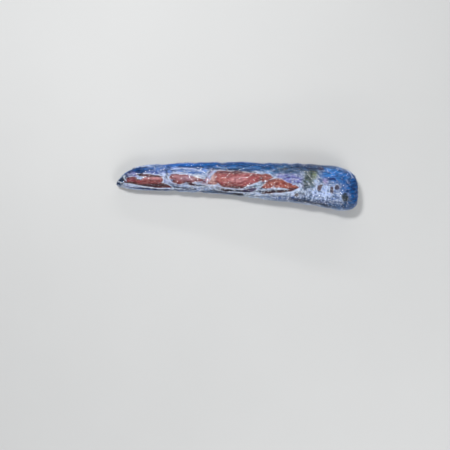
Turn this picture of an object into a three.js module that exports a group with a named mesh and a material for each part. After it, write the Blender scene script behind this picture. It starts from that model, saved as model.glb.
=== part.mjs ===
// A frozen dogfish fillet drawn tight in clear polythene film: one long tapering piece, thin and
// pinched at the tail end, thick and blunt at the neck end, lying on a flat-frozen base.
// Millimetres, +X towards the neck end, +Y across the piece, +Z up, origin under the middle of
// the box round it, on the surface that it lies on.
import * as THREE from "three";
import { mergeVertices } from "three/addons/utils/BufferGeometryUtils.js";

// Driving dimensions of the wrapped piece.
const LENGTH = 495;
const TAIL_HALF_WIDTH = 23.5;
const NECK_HALF_WIDTH = 48;
const TAIL_HEIGHT = 27;
const NECK_HEIGHT = 64;
const TAIL_ROUNDING = 60;
const NECK_ROUNDING = 50;

// The section: how much of its height lies above its widest level, how square it is (2 is an
// ellipse) on its near and far shoulders and below, and how far its underside is frozen flat.
const SHARE_ABOVE = 0.56;
const NEAR_SQUARENESS = 2.25;
const FAR_SQUARENESS = 2.6;
const LOWER_SQUARENESS = 2.8;
const FROZEN_FLAT = 4;

// Steps of the faceted surface along the piece and round it, where they lie closer on top, and
// steps of each smooth line.
const STEPS_ALONG = 124;
const STEPS_ROUND = 44;
const CLOSER_ON_TOP = 0.35;
const LINE_SAMPLES = 160;

// A smooth line seen from above, through points with rising x.
class PlanLine {
  constructor(...points) {
    const curve = new THREE.SplineCurve(points.map(([x, y]) => new THREE.Vector2(x, y)));
    this.samples = curve.getPoints(LINE_SAMPLES);
    this.start = points[0][0];
    this.end = points[points.length - 1][0];
  }

  // How far across the line lies at x.
  at(x) {
    const next = this.samples.findIndex((point) => point.x > x);
    if (next < 0) return this.samples[this.samples.length - 1].y;
    if (next === 0) return this.samples[0].y;
    const a = this.samples[next - 1];
    const b = this.samples[next];
    return a.y + ((b.y - a.y) * (x - a.x)) / (b.x - a.x);
  }

  // 1 along the line, fading out over its first and last tenth.
  reach(x) {
    const fade = (this.end - this.start) / 10;
    const begun = THREE.MathUtils.smoothstep(x, this.start, this.start + fade);
    return begun * (1 - THREE.MathUtils.smoothstep(x, this.end - fade, this.end));
  }
}

// The middle of the piece: it bends like a shallow bow.
const middleLine = new PlanLine(
  [-247.5, 5],
  [-222, 13.5],
  [-170, 19],
  [-72, 19.5],
  [18, 14],
  [109, 8],
  [170, 1.5],
  [220, -7.5],
  [247.5, -13],
);

// Long furrows (depth above 0) and ridges (below 0). The belly flap is folded against the loin
// in the first, with a roll of bunched film beside it. The film bridges to the back of the loin
// over the shoulder furrow, and a fold of it stands along the foremost flesh.
const longFeatures = [
  {
    line: new PlanLine([-236, 5], [-194, -1], [-133, -2.5], [-73, -3], [-28, -8], [8, -10],
      [52, -14], [89, -11], [130, -7]),
    depth: 4,
    halfWidth: 4.2,
  },
  {
    line: new PlanLine([-240, 2], [-214, -3.5], [-184, -7], [-143, -8.7], [-93, -10], [-42, -13]),
    depth: -2,
    halfWidth: 3.6,
  },
  {
    line: new PlanLine([-205, 27], [-120, 31], [-30, 33], [60, 30], [150, 26]),
    depth: 2.4,
    halfWidth: 4.5,
  },
  {
    line: new PlanLine([40, -1], [62, -4.5], [89, -4.5], [122, 0]),
    depth: -1.5,
    halfWidth: 3.4,
  },
];

// Taut film bands that cross the piece and pinch it: where each crosses the middle line, how far
// it runs along the piece for each millimetre across, and how deep and wide its groove is.
const filmBands = [
  { at: -205, slant: 0.55, depth: 1.2, halfWidth: 5 },
  { at: -138, slant: -0.4, depth: 2.6, halfWidth: 5.5 },
  { at: -92, slant: 0.25, depth: 1.2, halfWidth: 6 },
  { at: -52, slant: 0.72, depth: 3, halfWidth: 6 },
  { at: 49, slant: 0.15, depth: 1.8, halfWidth: 5 },
  { at: 74, slant: 1.5, depth: 2.6, halfWidth: 6 },
  { at: 138, slant: -0.55, depth: 1.8, halfWidth: 8 },
  { at: 205, slant: 0.3, depth: 1.4, halfWidth: 7 },
];
const BAND_SHARE_BELOW = 0.3;
const BAND_LIP_SHARE = 0.4;
const BAND_LIP_OFFSET = 1.9;

// Loose film pleats gathered at the tail, and the low swellings of the frozen flesh.
const TAIL_PLEATS = 9;
const TAIL_PLEAT_DEPTH = 1.5;
const TAIL_PLEAT_REACH = 55;
const SWELLING_HEIGHT = 1.1;

const { clamp, lerp, smoothstep } = THREE.MathUtils;
const share = (x) => clamp((x + LENGTH / 2) / LENGTH, 0, 1);
const signedPower = (value, power) => Math.sign(value) * Math.abs(value) ** power;
const bump = (distance, halfWidth) => Math.exp(-((distance / halfWidth) ** 2));

// How much of its full section the piece has at x: it closes in a slender point at the tail and
// in a blunt, squarish end at the neck.
function tailClosing(x, power) {
  const fromTip = clamp((x + LENGTH / 2) / TAIL_ROUNDING, 0, 1);
  return (1 - (1 - fromTip) ** 2) ** power;
}

function neckClosing(x) {
  const fromEnd = clamp((LENGTH / 2 - x) / NECK_ROUNDING, 0, 1);
  return (1 - (1 - fromEnd) ** 2.5) ** 0.36;
}

// The smooth section at x: its middle, its widest level, and its reach to the side, up and down.
function sectionAt(x) {
  const fullHeight = lerp(TAIL_HEIGHT, NECK_HEIGHT, share(x) ** 0.85);
  const neck = neckClosing(x);
  return {
    middle: middleLine.at(x),
    level: fullHeight * (1 - SHARE_ABOVE),
    side: lerp(TAIL_HALF_WIDTH, NECK_HALF_WIDTH, share(x)) * tailClosing(x, 0.8) * neck,
    up: fullHeight * SHARE_ABOVE * tailClosing(x, 0.6) * neck,
    down: (fullHeight * (1 - SHARE_ABOVE) + FROZEN_FLAT) * tailClosing(x, 0.45) * neck,
  };
}

function longDepth({ line, depth, halfWidth }, x, y) {
  return depth * line.reach(x) * bump(y - line.at(x), halfWidth);
}

// The far shoulder froze against a wall and is squarer than the near one.
function squareness(turn) {
  if (Math.sin(turn) < 0) return LOWER_SQUARENESS;
  return lerp(NEAR_SQUARENESS, FAR_SQUARENESS, smoothstep(Math.cos(turn), -0.8, 0.8));
}

function bandDepth(band, x, offset) {
  const away = Math.abs(x - band.at - band.slant * offset);
  const lip = bump(away - BAND_LIP_OFFSET * band.halfWidth, band.halfWidth);
  return band.depth * (bump(away, band.halfWidth) - BAND_LIP_SHARE * lip);
}

// Slow swellings in three directions, so that no stretch of the surface is quite regular.
function swelling(x, turn) {
  const long = Math.sin(x / 31 + 2 * Math.sin(turn + 0.7));
  const twisted = Math.sin(x / 17 - 3 * turn + 1.3);
  const short = Math.sin(x / 9.5 + 2 * turn) * 0.35;
  return SWELLING_HEIGHT * (long * 0.6 + twisted * 0.5 + short);
}

// The height of the relief over the smooth section, outwards, at a point of the surface. The
// furrows and ridges lie on top. The bands run on round the flanks, shallower.
function relief(x, y, turn, facingUp, middle) {
  const onTop = smoothstep(facingUp, -0.1, 0.45);
  const pleats = Math.cos(TAIL_PLEATS * turn + 0.8) * tailPleatShare(x);
  let height = swelling(x, turn) + TAIL_PLEAT_DEPTH * pleats;
  for (const feature of longFeatures) height -= onTop * longDepth(feature, x, y);
  const taut = lerp(BAND_SHARE_BELOW, 1, onTop);
  for (const band of filmBands) height -= taut * bandDepth(band, x, y - middle);
  return height;
}

function tailPleatShare(x) {
  const fromTip = x + LENGTH / 2;
  return smoothstep(fromTip, 4, 18) * (1 - smoothstep(fromTip, 20, TAIL_PLEAT_REACH));
}

// One point of the wrapped surface: along runs from 0 at the tail tip to 1 at the neck end, and
// turn is the angle round the section from +Y over the top.
function surfacePoint(along, turn) {
  const eased = lerp(along, (1 - Math.cos(Math.PI * along)) / 2, 0.35);
  const x = LENGTH * (eased - 0.5);
  const section = sectionAt(x);
  const upper = Math.sin(turn) >= 0;
  const power = 2 / squareness(turn);
  const reach = upper ? section.up : section.down;
  const y = section.side * signedPower(Math.cos(turn), power);
  const z = reach * signedPower(Math.sin(turn), power);
  const outward = new THREE.Vector2(y / (section.side ** 2 + 1), z / (reach ** 2 + 1));
  if (outward.lengthSq() > 0) outward.normalize();
  const ends = tailClosing(x, 1) * neckClosing(x);
  const height = relief(x, y + section.middle, turn, outward.y, section.middle) * ends;
  return new THREE.Vector3(
    x,
    section.middle + y + outward.x * height,
    Math.max(0, section.level + z + outward.y * height),
  );
}

// A globe's grid has proper fans at its poles. Its meridians become the lines along the piece,
// and its parallels become the sections.
function wrappedFilletGeometry() {
  const geometry = new THREE.SphereGeometry(1, STEPS_ROUND, STEPS_ALONG);
  const uv = geometry.getAttribute("uv");
  const position = geometry.getAttribute("position");
  for (let i = 0; i < position.count; i++) {
    const along = 1 - uv.getY(i);
    const round = 2 * Math.PI * (1 - uv.getX(i));
    const point = surfacePoint(along, round + CLOSER_ON_TOP * Math.cos(round));
    position.setXYZ(i, point.x, point.y, point.z);
  }
  geometry.deleteAttribute("uv");
  geometry.deleteAttribute("normal");
  const merged = mergeVertices(geometry, 1e-3);
  merged.computeBoundingBox();
  const box = merged.boundingBox;
  merged.translate(-(box.min.x + box.max.x) / 2, -(box.min.y + box.max.y) / 2, -box.min.z);
  merged.computeVertexNormals();
  return merged;
}

const filmOverFrost = new THREE.MeshStandardMaterial({
  color: 0xa9b6cf,
  roughness: 0.35,
  metalness: 0,
});

const wrappedFillet = new THREE.Mesh(wrappedFilletGeometry(), filmOverFrost);
wrappedFillet.name = "wrapped_fillet";

const group = new THREE.Group();
group.name = "dogfish_fillet";
group.add(wrappedFillet);

export default group;
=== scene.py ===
"""A frozen dogfish fillet drawn tight in clear film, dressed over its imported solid.

The solid's surface is read as a smooth grid of rings. Two skins are made from it: the frozen
flesh with its frost, and outside it the clear film with its folds. Lengths are in millimetres
until a mesh is made. What the photograph shows is placed by pixels of its 450 x 450 frame.
"""

import math
from functools import cached_property

import bpy
import numpy as np
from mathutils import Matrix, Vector
from mathutils.bvhtree import BVHTree
from mathutils.kdtree import KDTree


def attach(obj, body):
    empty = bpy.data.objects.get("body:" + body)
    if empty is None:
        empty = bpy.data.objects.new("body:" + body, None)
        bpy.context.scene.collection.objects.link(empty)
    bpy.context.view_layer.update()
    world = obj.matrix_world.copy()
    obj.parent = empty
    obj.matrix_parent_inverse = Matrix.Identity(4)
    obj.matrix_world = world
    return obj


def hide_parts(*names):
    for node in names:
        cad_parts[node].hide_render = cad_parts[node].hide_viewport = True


MM = 0.001
NODE = "wrapped_fillet"

# The photograph: its frame, and the camera straight above it.
FRAME_PX = 450
SENSOR_MM = 36.0
CAMERA_MM = (-22.2, -78.8, 1400.0)
FOCAL_PX = 678.0
PX_MM = CAMERA_MM[2] / FOCAL_PX

# The middle line of the piece, as it is read off slices of the solid.
SPINE_PLACES = 60
SPINE_SLICE_MM = 5
SPINE_MARGIN_MM = 8
BENDS_ACROSS = 6
BENDS_UP = 3

# The grid that the skins are made on: rings along the piece, closed by a cap at each end, and
# spokes round each ring.
BODY_RINGS = 425
TAIL_RINGS = 26
NECK_RINGS = 52
TAIL_CAP_MM = 20.0
NECK_CAP_MM = 36.0
POLE_ANGLE = math.radians(3)
SPOKES = 190
CLOSER_ON_TOP = 0.22
SKIN_PASSES = 14

# How the skins lie inside the solid's surface: the film, then the flesh under it.
FILM_INSET_MM = 0.25
FILM_SLACK_MM = 1.1
FILM_LUMPS_MM = 0.35
BARE_GAP_MM = 0.45
FROST_GAP_MM = 1.15
FROST_GRIT_MM = 0.7
FLOOR_GAP_MM = 0.05

# The edge of a clear patch, which fades into frost, and the darker flesh along it.
EDGE_WANDER_PX = 0.7
EDGE_FADE_PX = (-1.4, 0.3)
DARK_EDGE_PX = 2.6
DARKEST_EDGE = 0.55

# The edges of the soft ovals.
OVAL_RAGGEDNESS = 0.36
GROUND_SOFTNESS = 0.45
STAIN_SOFTNESS = 0.5
LEAST_STAIN = 0.01
TONE_SOFTNESS = 0.6

# Facings, from -1 for down to 1 for up, between which what shows from above fades in.
PATCH_FACING = (-0.02, 0.12)
FOLD_FACING = (0.02, 0.3)
FROST_FACING = (-0.04, 0.45)
FLANK_FACING = (-0.3, 0.1)

# The film at folds and creases: its own share of a fold's height, how much wider it rises than the
# fold is, and how far beside them reach the white on folds, frost and partly painted highlight,
# and the painted shade in creases.
FOLD_RISE = 0.4
FOLD_FOOT = 2.4
FOLD_FROST_MM = 0.5
CREASE_SHADE_MM = 0.7

# The gathers of the film at the two ends, and how far along the piece they reach.
GATHER_PLEATS = 9
GATHER_LEVEL_MM = 22
TAIL_GATHER_X = (-246, -205)
NECK_GATHER_X = (218, 244)
TAIL_GATHER_MM = 0.9
NECK_GATHER_MM = 1.2

# Loose crystals of ice between the flesh and the film.
ICE_GRAINS = 7500
ICE_SIZE_MM = (0.7, 2.3)
ICE_STRETCH = (0.5, 1.4)
ICE_ROUGHNESS = 0.25
ICE_FLATTENING = 0.6
ICE_LIFT_MM = 0.1

# Standing folds of bunched film. The section is in shares of a fold's half width and height.
FOLD_STEP_PX = 0.75
FOLD_WANDER_PX = 0.35
FOLD_SECTION = np.array([(-1, -0.35), (-0.55, 0.3), (-0.15, 0.9), (0.15, 1.0), (0.45, 0.6),
                         (1, -0.35), (0, -0.8)])
FOLD_CRUMPLE = 0.3
FOLD_SIZES = (0.04, 1.5)
FOLD_BLUNTNESS = 0.6
FOLD_END = 0.02
# Shown folds are at least this milky, whitened partly as painted highlight.
LEAST_MILK = 0.5

# Thin folds all over the film, and those that gather it at each end. They run on over so many
# rings; the neck's start so many rings before the last. Over bare flesh they are lower.
FINE_FOLDS = 110
TAIL_GATHERS = 17
NECK_GATHERS = 20
FINE_HALF_MM = (0.25, 0.5)
FINE_RINGS = (8, 44)
TAIL_GATHER_RINGS = (24, 52)
NECK_GATHER_RINGS = (28, 64)
FINE_SLANT = 0.34
TAIL_SLANT = 0.1
NECK_SLANT = 0.06
FINE_ON_BARE = 0.85

# The studio: a round floor that curves up outside, the light of the air, and the lights, with
# place and size in metres and power in watts.
FLOOR_FLAT_MM = 900
FLOOR_CURVE_MM = 3200
FLOOR_RISE = math.radians(60)
FLOOR_RINGS = 24
FLOOR_SIDES = 96
AIR_COLOUR = (0.92, 0.96, 1.0, 1)
AIR_STRENGTH = 0.34
LIGHTS = [
    ("key", (-0.55, 0.75, 1.9), (0.42, 0.3), 27),
    ("fill", (0.9, -1.2, 1.4), (1.0, 0.8), 13),
    ("far_strip", (0.2, 1.7, 0.7), (1.8, 0.1), 8),
    ("near_strip", (-0.2, -1.7, 0.6), (1.8, 0.1), 6),
]


# ---- what the photograph shows

# Ovals, outlines and routes are in pixels, and colours from 0 to 255. Half widths, heights and
# depths are in millimetres. All else is a share, from 0 to 1.

# Clear patches where the film touches bare flesh: colour of the flesh, share of pale muscle dots,
# how much darker the flesh is towards the edge, and outline. The furrow shadow and the furrow
# sliver are no flesh but painted shade in the furrow below the great patch.
WINDOWS_AND_FURROW_SHADE = [
    # The tail patch.
    ((152, 65, 65), 0.3, 0.9, [
        (124.8, 180.8), (127, 178.4), (131, 177.2), (135, 177.4), (138, 179), (141, 179.4),
        (144, 177.2), (151, 176.4), (158, 177), (162.4, 178.4), (162.8, 181), (161.4, 182.8),
        (164.4, 184.4), (168, 185.6), (171.5, 187.2), (166, 188), (158, 187.8), (149, 187.2),
        (141, 186), (134.5, 184.6), (129, 183.4), (125, 182.2)]),
    # The tail sliver.
    ((82, 37, 56), 0.0, 0.3, [
        (136.6, 174), (141, 173.4), (146, 174), (152, 174.4), (158, 175.4), (163, 176.6),
        (161, 177.4), (154, 177.2), (147, 177), (143.6, 176), (139, 175.4)]),
    # The second patch.
    ((184, 122, 128), 0.5, 0.45, [
        (168.6, 177.6), (170.3, 175.2), (173.5, 173.7), (177, 173.5), (181, 174.2), (186, 175.2),
        (191, 176.4), (196, 177.6), (200.4, 178.8), (204, 179.8), (202.6, 181.2), (196, 181.2),
        (190, 182.4), (184.5, 182.8), (181.5, 183.8), (178.5, 184.6), (175.2, 184), (172.6, 181.8),
        (172.4, 180.2), (174.6, 179.7), (170.4, 179)]),
    # The gap flecks.
    ((92, 48, 54), 0.0, 0.2, [
        (188.6, 183.4), (192, 184), (195.6, 185.2), (192, 185.8), (189, 184.9)]),
    # The great patch.
    ((168, 71, 75), 0.8, 0.9, [
        (209.5, 181.5), (211.5, 177.5), (214.3, 173.6), (217, 170.9), (222, 170.4), (230, 170.7),
        (238, 171.2), (246, 172), (254, 173), (261, 173.9), (261.6, 177), (260.4, 180.6),
        (255.5, 182.6), (250, 184.6), (246.4, 186.6), (243, 188.7), (236, 188.9), (230, 188.4),
        (225, 187.7), (221.5, 186.8), (219.4, 184), (217.6, 183), (215.5, 184.9), (210, 185.2),
        (207.4, 184)]),
    # The shoulder patch.
    ((156, 69, 63), 0.5, 0.5, [
        (260.8, 174.6), (265, 173.6), (269.5, 174.4), (273, 177), (272, 178.6), (267.6, 180.2),
        (261.8, 181.2)]),
    # The pointed patch.
    ((168, 74, 56), 1.0, 0.35, [
        (260.4, 187), (265.6, 183.9), (270.4, 180.3), (276, 178.5), (280.7, 179), (286.7, 182.4),
        (292.6, 184.4), (298.7, 187.4), (294.4, 189.4), (288, 189.9), (284, 188.6), (278.5, 187.9),
        (273.7, 188), (266, 188.6)]),
    # The dark seam.
    ((60, 26, 30), 0.0, 0.2, [
        (261.5, 193.3), (267, 192), (275, 191.2), (284, 190.2), (297.5, 188.2), (293, 190.6),
        (286, 191.8), (277, 192.8), (269, 193.4), (263.5, 194)]),
    # The furrow shadow.
    ((70, 64, 110), 0.0, 0.2, [
        (241, 191.2), (247, 189.9), (253, 188.9), (256.5, 189), (255, 191.2), (250, 192.3),
        (244, 192.2)]),
    # The furrow sliver, near black: painted shade deep in the furrow.
    ((10, 8, 30), 0.0, 0.2, [
        (220.8, 189.6), (226, 189.7), (231, 190.2), (235, 190.9), (230, 191.6), (224, 191.2)]),
]

# What lies under the frost, with painted light laid on it, each oval over those before it: its
# middle and its half lengths along and across, its colour, the share of it that white frost
# covers, and its strength. The deep blues of the far flank and the neck end are a painted blue
# reflection, and the far flank's top edge darkens into painted shade. The dark blues and near
# blacks along the near edge are painted shade.
GROUND_AND_PAINTED_LIGHT = [
    # The far flank at the tail: painted blue reflection.
    ((134, 169.5, 22, 6), (0, 60, 120), 0.0, 1.0),
    ((132, 174.6, 6, 3.4), (96, 88, 150), 0.44, 0.9),
    ((119, 180, 6, 3.4), (14, 10, 24), 0.03, 0.9),
    ((126.6, 177.4, 2.2, 2.4), (40, 24, 26), 0.08, 0.8),
    ((116, 185, 7, 4), (4, 22, 56), 0.1, 0.8),
    ((154, 172.8, 8, 2), (56, 78, 170), 0.2, 0.85),
    ((182, 168.8, 36, 4.6), (56, 104, 176), 0.2, 0.9),
    ((186, 169.8, 16, 1.6), (110, 136, 190), 0.42, 0.7),
    # Along the far edge: painted blue reflection, darkening at the top into painted shade.
    ((192, 163.4, 46, 2.6), (0, 100, 190), 0.04, 1.0),
    ((167, 181.8, 5, 5.4), (100, 104, 160), 0.46, 0.95),
    ((192, 187, 28, 3.6), (50, 68, 116), 0.52, 0.9),
    ((197, 176.6, 5, 1.6), (206, 196, 180), 0.6, 0.85),
    ((204, 171.6, 5, 3.4), (90, 132, 196), 0.34, 0.9),
    ((205, 182, 4, 4), (170, 92, 112), 0.3, 0.85),
    ((211, 186.2, 7, 1.5), (214, 204, 214), 0.75, 0.85),
    ((210, 174.5, 3.4, 5), (150, 146, 182), 0.34, 0.85),
    # Along the far edge: painted blue reflection, darkening at the top into painted shade.
    ((254, 165, 46, 5.6), (0, 78, 146), 0.06, 1.0),
    ((236, 167.6, 26, 1.5), (70, 122, 172), 0.16, 0.6),
    ((266, 171.4, 18, 1.8), (84, 134, 186), 0.36, 0.8),
    ((221, 191, 9, 2.4), (140, 136, 122), 0.28, 0.7),
    ((248, 191, 20, 3.2), (16, 42, 92), 0.44, 0.8),
    ((256, 184.8, 8, 2.4), (110, 140, 160), 0.66, 0.8),
    ((290, 178.4, 13, 5.5), (96, 96, 168), 0.38, 0.95),
    ((288, 169, 18, 4.5), (30, 80, 124), 0.16, 0.9),
    ((305.8, 186, 4, 3.6), (98, 88, 148), 0.2, 0.9),
    ((309, 184, 6, 12), (78, 94, 80), 0.2, 0.8),
    ((311.5, 173.5, 8, 6.4), (48, 66, 56), 0.2, 0.95),
    # Along the far edge at the neck: painted blue reflection with painted shade.
    ((315, 166, 22, 4), (14, 52, 100), 0.08, 0.9),
    ((322, 178, 8, 6), (100, 120, 156), 0.42, 0.8),
    ((326, 196, 21, 9.5), (50, 96, 164), 0.44, 0.95),
    ((303, 194, 8, 5), (96, 110, 138), 0.5, 0.85),
    # The neck end: painted blue reflection.
    ((337, 174.5, 17, 8.5), (34, 106, 180), 0.16, 1.0),
    ((331, 172, 6, 4), (50, 130, 210), 0.12, 0.7),
    # Along the near edge at the neck: painted shade, tinged by painted blue reflection.
    ((300, 201, 28, 3), (8, 66, 112), 0.3, 0.95),
    ((331, 208, 24, 3.4), (10, 80, 138), 0.3, 0.9),
    # The neck end: painted blue reflection.
    ((345.6, 188, 5.4, 9), (16, 92, 168), 0.14, 0.85),
    ((314.8, 175.6, 2.6, 3.8), (136, 150, 90), 0.3, 0.6),
    ((312.6, 171.8, 3, 1.5), (72, 80, 46), 0.14, 0.7),
    ((325.8, 181.4, 3, 3.4), (150, 128, 184), 0.42, 0.7),
    # Along the near edge, from the tail: painted shade, tinged by painted blue reflection.
    ((234, 192.8, 14, 2.2), (10, 40, 80), 0.06, 0.8),
    ((140, 189, 24, 1.7), (24, 62, 124), 0.26, 0.95),
    ((166, 190.2, 17, 1.6), (16, 54, 112), 0.2, 0.95),
    ((188, 191.4, 14, 1.4), (60, 96, 150), 0.4, 0.9),
    ((209, 192.4, 14, 1.8), (40, 72, 112), 0.3, 0.95),
    ((238, 195.2, 16, 1.9), (4, 16, 36), 0.1, 0.9),
    ((263, 195.8, 13, 1.7), (12, 34, 76), 0.08, 0.9),
    ((286, 199, 16, 2.6), (14, 76, 150), 0.42, 0.85),
    ((322, 195, 13, 6.4), (142, 164, 208), 0.58, 0.85),
    ((321, 202.6, 18, 2.4), (86, 100, 138), 0.34, 0.85),
    ((266.4, 181, 7, 2.2), (138, 78, 94), 0.2, 0.8),
    ((264, 183.6, 3, 1.4), (46, 52, 62), 0.14, 0.8),
    ((211.4, 173, 3, 4), (146, 132, 160), 0.3, 0.8),
    ((207.8, 180.8, 2.4, 3), (212, 158, 172), 0.3, 0.8),
    ((231, 189, 11, 1.2), (150, 138, 160), 0.34, 0.8),
    ((247.6, 186.8, 4.4, 1.3), (96, 92, 116), 0.28, 0.8),
    # The neck end and its lower corner: painted blue reflection with painted shade.
    ((357, 188, 7.5, 24), (0, 86, 160), 0.05, 1.0),
    ((349, 206, 7, 6), (10, 74, 130), 0.14, 0.8),
]

# Small stains on the frost, and painted shade in the hollow of the tail's tip: oval, colour and
# strength.
STAINS_AND_TIP_SHADE = [
    ((319.4, 188.2, 2.5, 3.4), (92, 48, 40), 0.95),
    ((331.9, 190.4, 1.8, 3.8), (74, 40, 54), 0.95),
    ((337.2, 187.4, 2.4, 2.5), (54, 30, 60), 0.95),
    ((345, 197.4, 3.6, 4.4), (44, 52, 44), 0.95),
    ((331.3, 178.8, 4.4, 1.6), (44, 60, 118), 0.9),
    ((296.7, 195.4, 2.2, 1.9), (112, 88, 74), 0.9),
    ((286, 168.6, 4.4, 1.1), (74, 68, 52), 0.8),
    # Dark in the hollow of the tail's tip: painted shade.
    ((116.9, 183.8, 1.8, 1.2), (20, 16, 36), 0.95),
    ((321, 168, 3.4, 1.6), (64, 56, 88), 0.8),
    ((321, 185.2, 1.8, 1.2), (112, 84, 62), 0.7),
]

# Tones within the bare flesh, among them painted highlights and a painted shade: oval, colour and
# strength.
FLESH_TONES_AND_PAINTED_LIGHT = [
    ((131.5, 179.6, 4, 1.8), (148, 66, 86), 0.7),
    ((131, 183, 7, 1.4), (18, 2, 6), 0.9),
    ((150, 175.4, 9, 0.8), (96, 48, 60), 0.6),
    ((139.6, 174.5, 3, 0.9), (8, 2, 16), 0.9),
    ((198, 180.2, 7, 0.9), (120, 46, 56), 0.7),
    ((185.5, 182, 5, 1.4), (76, 28, 44), 0.9),
    ((173.6, 181, 1.8, 1.3), (70, 28, 36), 0.85),
    # A pale streak along the tail patch: painted highlight.
    ((153, 178.4, 9, 1.3), (222, 158, 160), 0.85),
    ((148, 181.8, 12, 1.8), (142, 42, 46), 0.7),
    # Dark along the tail patch's lower edge: painted shade of the furrow below it.
    ((152, 185.8, 19, 1.7), (46, 8, 34), 0.92),
    ((177, 173.9, 8, 0.9), (88, 44, 46), 0.8),
    ((187, 178.4, 8, 2), (178, 152, 170), 0.7),
    ((178.4, 182.8, 3.2, 1.7), (150, 62, 54), 0.8),
    ((196.5, 178.4, 3.5, 1.6), (184, 150, 138), 0.7),
    ((212, 177.6, 3.6, 7), (226, 190, 178), 0.9),
    ((238, 171.8, 24, 1.8), (78, 26, 54), 0.85),
    # Pink along the great patch's upper edge: painted highlights.
    ((247, 173.4, 7, 0.7), (236, 176, 172), 0.55),
    ((225, 176.6, 9, 3), (192, 100, 96), 0.6),
    ((223, 180, 5, 2), (232, 138, 116), 0.55),
    # Pale in the middle of the great patch: painted highlight.
    ((239.5, 179.4, 9, 2.8), (224, 162, 166), 0.7),
    ((228, 185, 6, 1.6), (132, 52, 48), 0.7),
    ((250, 181, 7, 2.6), (204, 92, 94), 0.6),
    ((238, 187.6, 14, 1.3), (58, 16, 32), 0.85),
    ((277, 181, 5, 2), (176, 95, 80), 0.6),
    ((288, 187, 9, 1.6), (174, 84, 57), 0.6),
    ((290, 189.4, 8, 0.8), (188, 88, 56), 0.7),
]

# Standing folds of bunched film, milky white, the white partly a painted highlight on the creased
# film: half width, height and route.
FOLDS = [
    # The white roll along the near edge, in two strands.
    (1.0, 1.2, [(118, 181.6), (122, 182.8), (128, 184.2), (134, 185.2), (140, 186.2), (147, 187.5),
                (156, 188.6), (168, 188.8), (180, 189.4), (192, 190.4)]),
    (0.5, 0.6, [(116, 184.8), (120.5, 186.8), (126, 188.4), (133, 189.6), (142, 190.2)]),
    # Round the tail patch and its sliver.
    (0.6, 0.7, [(143, 173), (149, 173.3), (155, 174.2), (162, 175.4), (167, 176.4)]),
    (0.5, 0.6, [(123.4, 176), (124, 178.6), (126, 180.8)]),
    (0.5, 0.6, [(163.8, 178.2), (163.4, 180.6), (161.8, 182.8)]),
    (0.6, 0.6, [(165, 183.6), (169.6, 185.6), (174, 187.6)]),
    # Along the tail's far edge: a painted highlight on the film's crest.
    (0.4, 0.6, [(130, 168.3), (134, 167.2), (142, 165.8), (149, 164.4)]),
    (0.6, 0.6, [(164, 172.4), (167.4, 175.6), (168.6, 179.4), (172, 184)]),
    # Over the second patch and beside the gap.
    (0.6, 0.7, [(170, 173.4), (178, 171.8), (186, 172.9), (195, 174.9), (202, 175.8)]),
    (0.6, 0.6, [(171, 169.4), (182, 167.8), (193, 168.8), (203, 171.4)]),
    (1.2, 1.1, [(184, 185.2), (191, 186.9), (199, 187.6), (207, 186.2), (216, 185.6)]),
    (0.6, 0.7, [(202, 186.6), (205.5, 183.5), (208, 180)]),
    (0.6, 0.7, [(209.4, 177.4), (211, 174.6), (214.4, 171)]),
    (0.6, 0.7, [(205, 174.4), (208, 171.8), (211.4, 169.6)]),
    # Round the great patch.
    (0.5, 0.6, [(214, 170.2), (219, 169.7), (225, 169.9)]),
    (0.6, 0.7, [(251, 171.3), (256, 170.9), (262, 171.8)]),
    (0.4, 0.5, [(217, 186.4), (222, 188.1), (228, 189), (233, 189.5)]),
    (0.4, 0.5, [(236.6, 189.8), (240.6, 189.8), (244, 189.2)]),
    (0.6, 0.8, [(244.6, 187.8), (250, 185.8), (256, 184)]),
    (0.6, 0.7, [(226, 192.6), (234, 192.4), (242, 193.2), (252, 193.1), (259, 192.3)]),
    # Round the pointed patch and the dark seam.
    (1.0, 1.1, [(251, 193.4), (255.6, 191), (259.4, 187.8), (263.6, 185)]),
    (1.4, 1.3, [(261.5, 190.8), (268, 190), (276, 189.4), (283, 189.3), (288, 189.9)]),
    (0.7, 0.9, [(273.2, 189), (273.6, 186)]),
    (1.1, 1.1, [(244, 194.4), (254, 194.4), (264, 194.8), (276, 194.3), (286, 193.5), (294, 192),
                (300, 189.6)]),
    (0.35, 0.5, [(244, 196), (258, 195.9), (272, 195.8), (286, 195.6)]),
    # Over the neck end.
    (0.4, 0.45, [(347, 168.6), (350.6, 172.4), (353.4, 177.6)]),
]

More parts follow.
